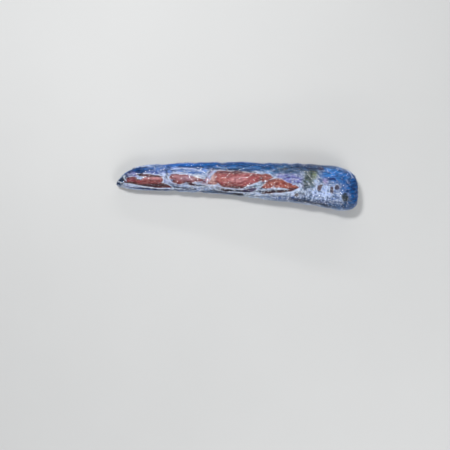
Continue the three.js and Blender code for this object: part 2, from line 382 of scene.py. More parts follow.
# Creases, where the film folds down between frost, darkened with painted shade: half width, depth
# and route.
CREASES = [
    (0.35, 0.5, [(213.6, 168.4), (210.6, 170.6), (208.8, 173.4)]),
    (0.3, 0.4, [(206.6, 177.4), (203.6, 180.6), (201.4, 183)]),
    (0.5, 0.5, [(199.6, 185.8), (203, 186.4), (207, 186.6)]),
    (0.8, 0.8, [(213, 169.2), (222, 168.9), (235, 169.4), (246, 170.5), (256, 171.8)]),
    (0.6, 0.9, [(165.6, 170.4), (166.8, 173.6), (166.4, 177.5)]),
    (0.8, 0.6, [(178, 165.8), (190, 166.6), (203, 167)]),
    (0.5, 0.7, [(119, 184.6), (124, 186.4), (132, 188), (142, 188.5), (150, 188.8), (157, 189.8)]),
    (0.8, 0.7, [(154, 190.2), (166, 190.6), (182, 190.6), (196, 190.2)]),
    (0.5, 0.5, [(176, 187.8), (184, 188.4), (189, 189.6)]),
    (0.9, 0.8, [(214, 190.4), (217, 193), (222, 194), (230, 194)]),
    (0.6, 0.7, [(230, 191.2), (236, 191.6), (242, 191.4), (249, 192.4)]),
    (0.8, 0.7, [(228, 195.2), (236, 194.8), (243, 195.6)]),
    (0.7, 0.6, [(188, 183.6), (192, 184.6), (198, 186.6), (206, 187)]),
    (0.5, 0.5, [(251, 187.8), (256, 186), (262, 185.8)]),
    (0.5, 0.6, [(262, 192), (272, 191.2), (284, 190.4), (296, 188.8)]),
    (0.7, 0.6, [(272, 196), (279, 196.6), (287, 196.8)]),
    (2.2, 0.3, [(290, 199.2), (303, 201.6), (316, 204.4), (330, 207.2)]),
    (0.8, 0.6, [(296, 166.5), (306, 167.5), (316, 168.2)]),
    (0.8, 0.6, [(340, 203), (343, 206), (344, 209)]),
]


# ---- small tools

# The table of random numbers behind all noise, and what spreads neighbouring cells over it.
NOISE_TABLE = 4096
NOISE_SPREAD = np.array([73856093, 19349663, 83492791])


def linear(colour):
    """A colour of the photograph, 0 to 255, as linear light."""
    share = np.asarray(colour, float) / 255
    return np.where(share <= 0.04045, share / 12.92, ((share + 0.055) / 1.055) ** 2.4)


def rgba(*colour):
    return (*linear(colour), 1.0)


def opaque(colours):
    """Colours with an alpha of 1."""
    return np.concatenate([colours, np.ones_like(colours[..., :1])], -1)


def smoothstep(value, low, high):
    t = np.clip((value - low) / (high - low), 0, 1)
    return t * t * (3 - 2 * t)


def mix(a, b, share):
    return a + (b - a) * share


def mix_colours(a, b, share):
    """Colours between a and b, by one share for each point; b is given from 0 to 255."""
    return mix(a, linear(b), share[..., None])


def bump(distance, half):
    return np.exp(-((distance / half) ** 2))


def unit(vectors):
    return vectors / np.linalg.norm(vectors, axis=-1, keepdims=True)


def above_floor(points):
    """Points with none of them lower than just above the floor."""
    return np.maximum(points, (-np.inf, -np.inf, FLOOR_GAP_MM))


def smooth_line(line, passes):
    """Evens out a line of points, and keeps its two ends."""
    for _ in range(passes):
        line[1:-1] = (line[:-2] + 2 * line[1:-1] + line[2:]) / 4
    return line


def smooth_grid(grid, passes):
    """Averages a grid over its neighbours: round each ring, and along between the end rings."""
    for _ in range(passes):
        grid = (np.roll(grid, 1, 1) + 2 * grid + np.roll(grid, -1, 1)) / 4
        ahead = np.concatenate([grid[1:], grid[-1:]])
        behind = np.concatenate([grid[:1], grid[:-1]])
        grid = (ahead + 2 * grid + behind) / 4
    return grid


def corner_values(cells, seed, count=1):
    """Fixed random numbers for whole-number cells."""
    table = np.random.default_rng(seed).random((NOISE_TABLE, count))
    x, y, z = np.moveaxis(cells * NOISE_SPREAD, -1, 0)
    return table[(x ^ y ^ z) % NOISE_TABLE]


def cloud(points, size, seed):
    """Smooth noise from -1 to 1, in lumps of about this size."""
    scaled = points / size
    cell = np.floor(scaled).astype(np.int64)
    part = smoothstep(scaled - cell, 0, 1)
    total = 0
    for corner in np.ndindex(2, 2, 2):
        pick = np.array(corner)
        weight = np.prod(np.where(pick, part, 1 - part), axis=-1)
        total = total + weight * corner_values(cell + pick, seed)[..., 0]
    return 2 * total - 1


def grain_numbers(points, size, seed):
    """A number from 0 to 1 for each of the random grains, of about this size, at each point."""
    scaled = points / size
    cell = np.floor(scaled).astype(np.int64)
    nearest = np.full(points.shape[:-1], np.inf)
    number = np.zeros(points.shape[:-1])
    for step in np.ndindex(3, 3, 3):
        there = cell + np.array(step) - 1
        values = corner_values(there, seed, 4)
        away = np.linalg.norm(there + values[..., :3] - scaled, axis=-1)
        number = np.where(away < nearest, values[..., 3], number)
        nearest = np.minimum(nearest, away)
    return number


def route_distance(px, py, route):
    """The distance from each place in the frame to a route of straight stretches."""
    best = np.full(px.shape, np.inf)
    for (ax, ay), (bx, by) in zip(route, route[1:]):
        run = np.array([bx - ax, by - ay])
        along = ((px - ax) * run[0] + (py - ay) * run[1]) / (run @ run)
        along = np.clip(along, 0, 1)
        best = np.minimum(best, np.hypot(px - ax - along * run[0], py - ay - along * run[1]))
    return best


def outline_depth(px, py, outline):
    """How far inside a closed outline each place in the frame lies; below 0 outside it."""
    closed = [*outline, outline[0]]
    inside = np.zeros(px.shape, bool)
    for (ax, ay), (bx, by) in zip(closed, closed[1:]):
        if ay != by:
            edge_x = ax + (py - ay) * (bx - ax) / (by - ay)
            inside ^= ((ay > py) != (by > py)) & (px < edge_x)
    distance = route_distance(px, py, closed)
    return np.where(inside, distance, -distance)


# ---- the surface as a grid

def read_solid(node):
    """The solid's corners and a tree that finds where a ray leaves it, in millimetres."""
    mesh = node.data
    corners = np.zeros(len(mesh.vertices) * 3)
    mesh.vertices.foreach_get("co", corners)
    corners = corners.reshape(-1, 3) / MM
    faces = [tuple(face.vertices) for face in mesh.polygons]
    return corners, BVHTree.FromPolygons([Vector(c) for c in corners], faces)


def spine_of(corners):
    """The middle of the sections, across and up, as smooth functions of x."""
    x = corners[:, 0]
    places = np.linspace(x.min() + SPINE_MARGIN_MM, x.max() - SPINE_MARGIN_MM, SPINE_PLACES)
    slices = [corners[np.abs(x - place) < SPINE_SLICE_MM] for place in places]
    middles = np.array([(near.min(0) + near.max(0)) / 2 for near in slices])
    fit = np.polynomial.Polynomial.fit
    return fit(places, middles[:, 1], BENDS_ACROSS), fit(places, middles[:, 2], BENDS_UP)


def sample_skin(node):
    """Reads the solid's surface as rings of points from the tail's tip to the neck's end.

    Along the body the rings stand across the piece. Round each end they fan out from the last
    place on the spine, as on a ball, so that the blunt end is as finely covered as the rest.
    """
    corners, tree = read_solid(node)
    across, level = spine_of(corners)
    first = corners[:, 0].min() + TAIL_CAP_MM
    last = corners[:, 0].max() - NECK_CAP_MM
    body = np.linspace(first, last, BODY_RINGS)
    from_x = np.concatenate([np.full(TAIL_RINGS, first), body, np.full(NECK_RINGS, last)])
    upright = math.pi / 2
    tail = np.linspace(math.pi - POLE_ANGLE, upright, TAIL_RINGS, endpoint=False)
    neck = np.linspace(upright, POLE_ANGLE, NECK_RINGS + 1)[1:]
    lean = np.concatenate([tail, np.full(BODY_RINGS, upright), neck])
    even = np.arange(SPOKES) * 2 * math.pi / SPOKES
    turn = even + CLOSER_ON_TOP * np.cos(even)
    points = np.zeros((len(from_x), SPOKES, 3))
    for ring, (x, angle) in enumerate(zip(from_x, lean)):
        origin = Vector((x, across(x), level(x)))
        out = math.sin(angle)
        for spoke, t in enumerate(turn):
            way = Vector((math.cos(angle), out * math.cos(t), out * math.sin(t)))
            points[ring, spoke] = tree.ray_cast(origin, way)[0]
    return smooth_grid(points, SKIN_PASSES), across


def facings(points):
    """The outward direction at each point of a grid, as long as the area round the point."""
    along = np.gradient(points, axis=0)
    round_it = np.roll(points, -1, 1) - np.roll(points, 1, 1)
    return np.cross(round_it, along)


class Skin:
    """The smooth surface of the wrapped piece, and what each of its points needs to know.

    px and py are the pixel of the photograph that a point shows in, up is how far it faces up,
    and lay is its place with the girth laid flat: along the piece, and round it from the top.
    """

    def __init__(self, node):
        self.points, spine = sample_skin(node)
        self.normals = unit(facings(self.points))
        self.up = self.normals[..., 2]
        self.seen = smoothstep(self.up, *FOLD_FACING)
        self.x, y, z = np.moveaxis(self.points, -1, 0)
        self.across = y - spine(self.x)
        away = CAMERA_MM[2] - z
        self.px = FRAME_PX / 2 + (self.x - CAMERA_MM[0]) * FOCAL_PX / away
        self.py = FRAME_PX / 2 - (y - CAMERA_MM[1]) * FOCAL_PX / away
        step = np.linalg.norm(np.diff(self.points, axis=1, append=self.points[:, :1]), axis=-1)
        girth = step.sum(1)[:, None]
        run = np.cumsum(step, axis=1) - step
        top = run[:, SPOKES // 4][:, None]
        round_it = (run - top + girth / 2) % girth - girth / 2
        self.lay = np.stack([self.x, round_it, np.zeros_like(self.x)], -1)

    def moved(self, outward):
        """The grid moved outwards, kept above the floor."""
        return above_floor(self.points + self.normals * outward[..., None])

    def clouds(self, size, seed, octaves=3, stretch=1):
        """Smooth noise with finer noise on it, in lumps stretched along the piece."""
        points = self.points / np.array([stretch, 1, 1])
        total = sum(cloud(points, size / 2**k, seed + k) / 2**k for k in range(octaves))
        return total / (2 - 2 ** (1 - octaves))


# ---- what lies where

def oval_share(skin, oval, wobble, softness):
    """How much of a soft, ragged oval lies at each point, from 0 to 1."""
    x, y, long, wide = oval
    away = np.hypot((skin.px - x) / long, (skin.py - y) / wide) + OVAL_RAGGEDNESS * wobble
    return 1 - smoothstep(away, 1 - softness, 1 + softness)


def window_field(skin):
    """Share of bare flesh, its colour and its share of dots, at each point of the grid."""
    warp = 0.9 * skin.clouds(9, seed=11) + 0.8 * skin.clouds(3.2, seed=17, octaves=2)
    wobble = skin.clouds(5, seed=19)
    in_view = smoothstep(skin.up, *PATCH_FACING)
    slow = smoothstep(skin.clouds(18, seed=13, octaves=2), -0.4, 0.4)
    colour = mix_colours(linear((104, 52, 56)), (160, 92, 82), slow)
    bare = np.zeros(skin.px.shape)
    dots = np.full(skin.px.shape, 0.5)
    for tone, dotted, dark_edge, outline in WINDOWS_AND_FURROW_SHADE:
        depth = outline_depth(skin.px, skin.py, outline)
        share = smoothstep(depth + warp * EDGE_WANDER_PX, *EDGE_FADE_PX) * in_view
        edge = 1 - smoothstep(depth, 0, DARK_EDGE_PX)
        shade = 1 - dark_edge * DARKEST_EDGE * edge
        inside = share > bare
        colour = np.where(inside[..., None], linear(tone) * shade[..., None], colour)
        dots = np.where(inside, dotted, dots)
        bare = np.maximum(bare, share)
    for oval, tone, strength in FLESH_TONES_AND_PAINTED_LIGHT:
        share = strength * oval_share(skin, oval, wobble, TONE_SOFTNESS) * in_view
        colour = mix_colours(colour, tone, share)
    return bare, colour, dots


def other_windows(skin):
    """Clear patches on the flanks and underneath, which the photograph doesn't show."""
    lumps = skin.clouds(15, seed=41, octaves=4, stretch=3.4) + 0.2 * skin.clouds(5, seed=43)
    return smoothstep(lumps, 0.24, 0.34) * (1 - smoothstep(skin.up, *FLANK_FACING))


def plain_ground(skin):
    """The ground's colour where no patch is placed: bluish grey, its blue partly a painted
    reflection, tinged violet and olive.
    """
    pale = smoothstep(skin.clouds(26, seed=31, octaves=2, stretch=2.2), -0.5, 0.5)
    colour = mix_colours(linear((84, 108, 146)), (142, 156, 182), pale)
    tinge = skin.clouds(22, seed=37, octaves=2, stretch=2)
    colour = mix_colours(colour, (118, 96, 144), 0.7 * smoothstep(tinge, 0.2, 0.5))
    return mix_colours(colour, (104, 112, 84), 0.7 * smoothstep(-tinge, 0.25, 0.55))


def frost_fields(skin):
    """The ground's colour under the frost with its painted blue reflection and painted shade, the
    frost's cover and how calm both are, and stains with the painted shade at the tail's tip.
    """
    wobble = skin.clouds(9, seed=23, stretch=2)
    ragged = wobble + 0.9 * skin.clouds(4, seed=29, octaves=2)
    # The near flank takes the ovals further down, so the painted shade of the near edge runs on
    # over it.
    near_flank = smoothstep(-skin.normals[..., 1], 0, 0.6)
    shown = smoothstep(skin.up + 0.4 * ragged + 0.3 * near_flank, *FROST_FACING)
    colour = plain_ground(skin)
    cover = 0.6 + 0.34 * skin.clouds(30, seed=47, stretch=2.5)
    calm = np.ones(skin.px.shape)
    for oval, tone, frost, strength in GROUND_AND_PAINTED_LIGHT:
        share = strength * oval_share(skin, oval, wobble, GROUND_SOFTNESS) * shown
        calm = calm * (1 - share)
        colour = mix_colours(colour, tone, share)
        cover = mix(cover, frost, share)
    stain_and_shade = np.zeros_like(colour)
    spot = np.zeros(skin.px.shape)
    for oval, tone, strength in STAINS_AND_TIP_SHADE:
        share = strength * oval_share(skin, oval, ragged, STAIN_SOFTNESS) * shown
        stain_and_shade = np.where(share[..., None] > LEAST_STAIN, linear(tone), stain_and_shade)
        spot = np.maximum(spot, share)
    return colour, np.clip(cover, 0, 1), calm, stain_and_shade, spot


def fold_fields(skin):
    """The film's rise at folds and dip at creases, the white on folds, frost and partly painted
    highlight, and the painted shade in creases.
    """
    rise, white, dark = np.zeros((3, *skin.px.shape))
    wander = 0.5 * skin.clouds(14, seed=53)
    swell = 1 + 0.75 * skin.clouds(9, seed=57)
    shown = skin.seen * np.clip(0.35 + swell * 0.65, 0, 1)
    for half, height, route in FOLDS:
        away = route_distance(skin.px, skin.py, route) * PX_MM
        rise += FOLD_RISE * height * bump(away, FOLD_FOOT * half) * skin.seen
        white = np.maximum(white, bump(away, half + FOLD_FROST_MM) * shown)
    for half, depth, route in CREASES:
        away = (route_distance(skin.px, skin.py, route) + wander) * PX_MM
        share = bump(away, half + CREASE_SHADE_MM) * shown
        rise -= depth * share
        dark = np.maximum(dark, share)
    return rise, white, dark


def film_crinkles(skin):
    """A net of small crinkles, longer along the piece, and pleats that close the two ends."""
    long = 1 - 2.4 * np.abs(skin.clouds(9, seed=101, octaves=2, stretch=3.2))
    small = 1 - 2.6 * np.abs(skin.clouds(4.5, seed=107, octaves=2, stretch=2))
    net = 0.6 * np.clip(long, 0, 1) ** 3 + 0.35 * np.clip(small, 0, 1) ** 2
    turn = np.arctan2(skin.points[..., 2] - GATHER_LEVEL_MM, skin.across)
    wave = 2.2 * skin.clouds(16, seed=103)
    pleats = np.abs(np.sin(GATHER_PLEATS * turn + wave)) ** 1.5
    tail = TAIL_GATHER_MM * (1 - smoothstep(skin.x, *TAIL_GATHER_X))
    neck = NECK_GATHER_MM * smoothstep(skin.x, *NECK_GATHER_X)
    return net + pleats * tail + pleats * neck


# ---- meshes

# How a mesh stores a field, by how many numbers it has at each point.
FIELD_KINDS = {1: ("FLOAT", "value"), 3: ("FLOAT_VECTOR", "vector"), 4: ("FLOAT_COLOR", "color")}


def link(name, data):
    """A new object of the scene."""
    made = bpy.data.objects.new(name, data)
    bpy.context.scene.collection.objects.link(made)
    return made


def add_mesh(name, points, faces, material, fields=(), smooth=True):
    """An object of points in millimetres, with fields that its material reads."""
    mesh = bpy.data.meshes.new(name)
    mesh.from_pydata((points * MM).tolist(), [], faces)
    mesh.polygons.foreach_set("use_smooth", [smooth] * len(faces))
    mesh.materials.append(material)
    for field, values in dict(fields).items():
        kind, key = FIELD_KINDS[values.size // len(points)]
        attribute = mesh.attributes.new(field, kind, "POINT")
        attribute.data.foreach_set(key, values.astype(np.float32).ravel())
    mesh.update()
    return link(name, mesh)


def tube_faces(rings, sides):
    """The faces between the rings of a tube, with its points numbered ring by ring."""
    ring = np.arange(rings - 1)[:, None] * sides
    here = np.arange(sides)[None]
    beside = (here + 1) % sides
    quads = [ring + here, ring + beside, ring + sides + beside, ring + sides + here]
    return np.stack(quads, -1).reshape(-1, 4)


def with_ends(grid):
    """A grid as one list, closed by the mean of its first ring and the mean of its last."""
    rings = grid.reshape(*grid.shape[:2], -1)
    return np.concatenate([rings.reshape(-1, rings.shape[-1]), rings[[0, -1]].mean(1)])


def add_skin(name, points, material, fields):
    """A closed mesh from a grid of rings, with an end point on each side."""
    rings, spokes, _ = points.shape
    faces = tube_faces(rings, spokes).tolist()
    tail_point = rings * spokes
    neck_ring = tail_point - spokes
    for spoke in range(spokes):
        beside = (spoke + 1) % spokes
        faces.append((tail_point, beside, spoke))
        faces.append((tail_point + 1, neck_ring + spoke, neck_ring + beside))
    fields = {field: with_ends(values) for field, values in fields.items()}
    return add_mesh(name, with_ends(points), faces, material, fields)


def crystal_shape():
    """The twelve corners of a crystal, at length 1, and its twenty faces, turned outwards."""
    golden = (1 + math.sqrt(5)) / 2
    corners = [(0, a, b * golden) for a in (-1, 1) for b in (-1, 1)]
    corners = unit(np.array([np.roll(c, turn) for turn in range(3) for c in corners]))
    joined = np.linalg.norm(corners[:, None] - corners, axis=-1) < 1.1
    faces = []
    for i, j, k in ((i, j, k) for i in range(12) for j in range(i) for k in range(j)):
        if joined[i, j] and joined[j, k] and joined[i, k]:
            facing = np.cross(corners[j] - corners[i], corners[k] - corners[i])
            faces.append((i, j, k) if facing @ corners[i] > 0 else (i, k, j))
    return corners, np.array(faces)


def random_turns(draw, count):
    """Turning matrices that point every way."""
    first = unit(draw.standard_normal((count, 3)))
    second = unit(np.cross(first, draw.standard_normal((count, 3))))
    return np.stack([first, second, np.cross(first, second)], axis=2)


def add_ice_grains(skin, surface, density):
    """Small flattened crystals of ice, sown where the frost is thick and round the patches."""
    draw = np.random.default_rng(131)
    corners, faces = crystal_shape()
    weight = (np.linalg.norm(facings(surface), axis=-1) * density).ravel()
    picked = draw.choice(weight.size, ICE_GRAINS, replace=False, p=weight / weight.sum())
    middles = surface.reshape(-1, 3)[picked]
    outward = skin.normals.reshape(-1, 3)[picked]
    size = draw.uniform(*ICE_SIZE_MM, (ICE_GRAINS, 1, 1)) / 2
    stretch = draw.uniform(*ICE_STRETCH, (ICE_GRAINS, 1, 3))
    jitter = 1 + ICE_ROUGHNESS * draw.standard_normal((ICE_GRAINS, len(corners), 1))
    turned = random_turns(draw, ICE_GRAINS)
    local = np.einsum("nij,ncj->nci", turned, corners[None] * stretch) * size * jitter
    rise = np.einsum("ncj,nj->nc", local, outward)[..., None] * outward[:, None]
    points = middles[:, None] + local - ICE_FLATTENING * rise + ICE_LIFT_MM * outward[:, None]
    points = above_floor(points).reshape(-1, 3)
    index = np.arange(ICE_GRAINS)[:, None, None] * len(corners) + faces
    grey = np.repeat(draw.random(ICE_GRAINS), len(corners))
    return add_mesh("frost_grains", points, index.reshape(-1, 3).tolist(), ice_material(),
                    dict(grey=grey), smooth=False)


def shown_fold_lines(skin):
    """The folds that the photograph shows: grid places, half width, height and smoothing."""
    seen = np.flatnonzero(skin.up.ravel() > FOLD_FACING[0])
    px, py = skin.px.ravel(), skin.py.ravel()
    finder = KDTree(len(seen))
    for index in seen:
        finder.insert((px[index], py[index], 0), index)
    finder.balance()
    draw = np.random.default_rng(151)
    for half, height, route in FOLDS:
        corners = np.array(route, float)
        run = np.concatenate([[0], np.cumsum(np.linalg.norm(np.diff(corners, axis=0), axis=1))])
        stops = np.linspace(0, run[-1], max(4, int(run[-1] / FOLD_STEP_PX)))
        line = np.stack([np.interp(stops, run, corners[:, axis]) for axis in (0, 1)], 1)
        line = smooth_line(line, 4)
        wave = np.sin(stops / 3.1 + draw.uniform(0, 6)) * np.sin(stops / 7.7)
        line[:, 1] += FOLD_WANDER_PX * wave
        yield [finder.find((x, y, 0))[1] for x, y in line], half, height, 3


def fine_fold_starts(draw, rings):
    """Where thin folds start, ring and spoke, how many rings they run on, and their slant."""
    for _ in range(FINE_FOLDS):
        ring = draw.uniform(TAIL_RINGS, rings - NECK_RINGS)
        yield ring, draw.uniform(0, SPOKES), draw.uniform(*FINE_RINGS), draw.normal(0, FINE_SLANT)
    for n in range(TAIL_GATHERS):
        spoke = (n + draw.uniform(-0.3, 0.3)) * SPOKES / TAIL_GATHERS
        yield 1, spoke, draw.uniform(*TAIL_GATHER_RINGS), draw.normal(0, TAIL_SLANT)
    for n in range(NECK_GATHERS):
        ring = rings - draw.uniform(*NECK_GATHER_RINGS)
        spoke = (n + draw.uniform(-0.4, 0.4)) * SPOKES / NECK_GATHERS
        yield ring, spoke, rings, draw.normal(0, NECK_SLANT)


def fine_fold_lines(rings):
    """Thin tension folds all over the film, mostly along the piece, and gathers at both ends."""
    draw = np.random.default_rng(71)
    for first, spoke, length, slant in list(fine_fold_starts(draw, rings)):
        steps = np.arange(0, length, 1.5)
        bend = draw.normal(0, 0.007)
        ring = np.clip(np.round(first + steps).astype(int), 0, rings - 1)
        ring = ring[: 1 + np.argmax(ring)]
        steps = steps[: len(ring)]
        turn = spoke + slant * steps + bend * steps**2 + 0.7 * np.sin(steps / 5 + 9 * slant)
        turn = np.round(turn).astype(int) % SPOKES
        if len(ring) > 4:
            half = draw.uniform(*FINE_HALF_MM)
            yield ring * SPOKES + turn, half, half * draw.uniform(0.7, 1.3), 4


def fold_roll(line, normals, half, height, fullness, draw):
    """The rings of a narrow roll that tapers to its ends, and whether they turn the other way."""
    ahead = unit(np.gradient(line, axis=0))
    across = unit(np.cross(normals, ahead) * draw.choice([-1, 1]))
    ends = np.sin(np.linspace(FOLD_END, math.pi - FOLD_END, len(line))) ** FOLD_BLUNTNESS
    size = ends * (0.7 + 0.8 * smooth_line(draw.standard_normal(len(line)), 3))
    size = np.clip(size * fullness, *FOLD_SIZES)[:, None, None]
    crumple = 1 + FOLD_CRUMPLE * draw.standard_normal((2, len(line), len(FOLD_SECTION), 1))
    sideways = across[:, None] * FOLD_SECTION[:, :1] * half * size * crumple[0]
    upwards = normals[:, None] * FOLD_SECTION[:, 1:] * height * size * crumple[1]
    return line[:, None] + sideways + upwards, np.cross(ahead[0], across[0]) @ normals[0] <= 0


def add_folds(skin, surface, density, bare):
    """Standing folds of bunched film, each a narrow closed roll."""
    draw = np.random.default_rng(161)
    sides = len(FOLD_SECTION)
    points, faces, milk = [], [], []
    for found, half, height, passes in [*shown_fold_lines(skin), *fine_fold_lines(len(surface))]:
        line = smooth_line(surface.reshape(-1, 3)[found], passes)
        normals = skin.normals.reshape(-1, 3)[found]
        fine = half <= FINE_HALF_MM[1]
        fullness = 1 - FINE_ON_BARE * bare.ravel()[found] if fine else 1
        rings, turned = fold_roll(line, normals, half, height, fullness, draw)
        caps = [np.arange(sides), len(line) * sides - 1 - np.arange(sides)]
        for face in [*tube_faces(len(line), sides), *caps]:
            face = face + len(points) * sides
            faces.append((face[::-1] if turned else face).tolist())
        points += list(rings)
        least = 0 if fine else LEAST_MILK
        milk.append(np.repeat(np.maximum(density.ravel()[found], least), sides))
    return add_mesh("film_folds", above_floor(np.concatenate(points)), faces, fold_material(),
                    dict(milk=np.concatenate(milk)))


# ---- materials

# Colours that are the same all over the piece. The blue of the frost, ice and fold colours is
# partly a painted blue reflection, the crease colour is painted shade, and the patch rim is frost
# with painted glints.
MUSCLE_NET = rgba(92, 30, 36)
MUSCLE_DOTS = rgba(252, 204, 190)
FLESH_LIGHT = rgba(240, 206, 200)
FLESH_DARK = rgba(84, 32, 40)
FROST_PITS = rgba(10, 20, 40)
FROST_SPECKS = rgba(206, 220, 242)
FROST_BLUE = rgba(142, 174, 224)
FROST_WHITE = rgba(242, 248, 255)
PATCH_RIM_FROST_AND_GLINT = rgba(238, 220, 228)
CREASE_PAINTED_SHADE = rgba(20, 26, 50)
ICE_BLUE = rgba(136, 168, 222)
ICE_WHITE = rgba(242, 246, 253)
FILM_MILK = rgba(236, 240, 248)
FOLD_CLEAR = rgba(50, 112, 182)
FOLD_BLUE = rgba(134, 166, 212)
FOLD_WHITE = rgba(244, 248, 254)


class Shader:
    """A material in the making, with a few short ways to add and join its nodes."""

    def __init__(self, name):
        self.material = bpy.data.materials.new(name)
        self.material.use_nodes = True
        self.tree = self.material.node_tree
        self.tree.nodes.clear()
        self.output = self.tree.nodes.new("ShaderNodeOutputMaterial")

    def feed(self, socket, value):
        if isinstance(value, bpy.types.NodeSocket):
            self.tree.links.new(value, socket)
        else:
            socket.default_value = value

    def node(self, kind, *values, output=0, settings=(), **named):
        """A node's output; its first sockets are fed in order, others by name."""
        made = self.tree.nodes.new("ShaderNode" + kind)
        for key, value in settings:
            setattr(made, key, value)
        for socket, value in zip(made.inputs, values):
            self.feed(socket, value)
        for key, value in named.items():
            self.feed(made.inputs[key.replace("_", " ")], value)
        return made.outputs[output]

    def maths(self, operation, *values):
        return self.node("Math", *values, settings=[("operation", operation)])

    def times(self, a, b):
        return self.maths("MULTIPLY", a, b)

    def plus(self, a, b):
        return self.maths("ADD", a, b)

    def times_plus(self, a, factor, more):
        return self.maths("MULTIPLY_ADD", a, factor, more)

    def blend(self, share, a, b, mode="MIX"):
        """A colour from a at share 0 to b at share 1."""
        made = self.tree.nodes.new("ShaderNodeMix")
        made.data_type, made.blend_type = "RGBA", mode
        for index, value in ((0, share), (6, a), (7, b)):
            self.feed(made.inputs[index], value)
        return made.outputs[2]

    def ranged(self, value, low, high, to_low=0.0, to_high=1.0):
        """A value eased from one range into another."""
        return self.node("MapRange", value, low, high, to_low, to_high,
                         settings=[("interpolation_type", "SMOOTHSTEP")])

    def field(self, name, output="Fac"):
        return self.node("Attribute", settings=[("attribute_name", name)], output=output)

    def scaled(self, vector, factors):
        return self.node("VectorMath", vector, factors, settings=[("operation", "MULTIPLY")])

    @cached_property
    def lay(self):
        """Where a point lies with the girth laid flat."""
        return self.field("lay", "Vector")

    @cached_property
    def place(self):
        """Where a point lies, in millimetres."""
        return self.scaled(self.node("TexCoord", output="Object"), (1 / MM,) * 3)

    def noise(self, vector, scale, detail=3.0, roughness=0.55, along=1, output=0):
        """Noise, drawn out along the piece where along is below 1."""
        if along != 1:
            vector = self.scaled(vector, (along, 1, 1))
        return self.node("TexNoise", Vector=vector, Scale=scale, Detail=detail,
                         Roughness=roughness, output=output)

    def layered(self, share, below, above):
        """One surface over another, which shows by this share."""
        return self.node("MixShader", share, below, above)

    def close(self, surface):
        self.tree.links.new(surface, self.output.inputs["Surface"])
        return self.material


def muscle_dots(shader):
    """Pale dots in slanting rows, where the frozen muscle blocks meet, and the net between."""
    drift = shader.noise(shader.lay, 0.1, 2.0, 0.5, output="Color")
    drift = shader.node("VectorMath", drift, (7, 7, 0), shader.lay,
                        settings=[("operation", "MULTIPLY_ADD")])
    turned = shader.node("VectorRotate", Vector=drift, Angle=math.radians(38),
                         settings=[("rotation_type", "Z_AXIS")])
    away = shader.node("TexVoronoi", Vector=turned, Scale=0.27, Randomness=0.7)
    return shader.ranged(away, 0.16, 0.42, 1.0, 0.0), shader.ranged(away, 0.5, 0.8)


def tinted(shader, name, low, high, share):
    """A field's colour, between a darker and a lighter shade of it."""
    colour = shader.field(name, "Color")
    return shader.blend(share, shader.blend(1.0, colour, (*low, 1), "MULTIPLY"),
                        shader.blend(1.0, colour, (*high, 1), "MULTIPLY"))


def flesh_colour(shader):
    """Red-brown flesh: slow tones, pale dots, a dark net between them and a fine grain."""
    tones = shader.noise(shader.lay, 0.16, 4.0, 0.7, along=0.6)
    flesh = tinted(shader, "flesh", (0.42, 0.24, 0.3), (1.0, 1.0, 1.02),
                   shader.ranged(tones, 0.36, 0.6))
    dots, net = muscle_dots(shader)
    dotted = shader.field("dots")
    net = shader.times(net, shader.times_plus(dotted, 0.4, 0.2))
    flesh = shader.blend(net, flesh, MUSCLE_NET)
    strength = shader.ranged(shader.noise(shader.lay, 0.14), 0.36, 0.58, 0.25, 0.9)
    dots = shader.times(shader.times(dots, dotted), strength)
    flesh = shader.blend(dots, flesh, MUSCLE_DOTS)
    grain = shader.noise(shader.place, 0.62, 3.0, 0.7)
    flesh = shader.blend(shader.ranged(grain, 0.55, 0.68, 0.0, 0.5), flesh, FLESH_LIGHT)
    return shader.blend(shader.ranged(grain, 0.43, 0.32, 0.0, 0.5), flesh, FLESH_DARK)


def frost_streaks(shader):
    """Streaks of frost: along the piece, and across it over the neck end."""
    along = shader.noise(shader.lay, 0.2, 4.0, 0.66, along=0.3)
    over = shader.noise(shader.scaled(shader.lay, (1.0, 0.5, 1.0)), 0.2, 4.0, 0.66)
    neck = shader.ranged(shader.node("SeparateXYZ", shader.lay), 80.0, 130.0)
    return shader.times_plus(shader.maths("SUBTRACT", over, along), neck, along)


def frost_threads(shader, lumps):
    """Thin white threads that wander through the frost."""
    threads = shader.noise(shader.lay, 0.13, 2.0, 0.6, along=0.4)
    threads = shader.maths("ABSOLUTE", shader.maths("SUBTRACT", threads, 0.5))
    return shader.times(shader.ranged(threads, 0.008, 0.02, 0.9, 0.0),
                        shader.ranged(lumps, 0.42, 0.56))


def frost_cover(shader, grain):
    """How much of the ground white frost hides: grains, lumps, streaks and threads of it."""
    cover = shader.field("cover")
    lumps = shader.noise(shader.place, 0.26, 3.0, 0.6)
    pattern = shader.times_plus(lumps, 0.6, frost_streaks(shader))
    pattern = shader.times_plus(grain, 0.5, pattern)
    aim = shader.times_plus(cover, 0.46, -1.32)
    white = shader.ranged(shader.plus(pattern, aim), -0.05, 0.05)
    threads = shader.times(frost_threads(shader, lumps), shader.ranged(cover, 0.0, 0.3))
    white = shader.maths("MAXIMUM", white, threads)
    return shader.times(white, shader.ranged(cover, 0.0, 0.6, 0.5, 1.0))


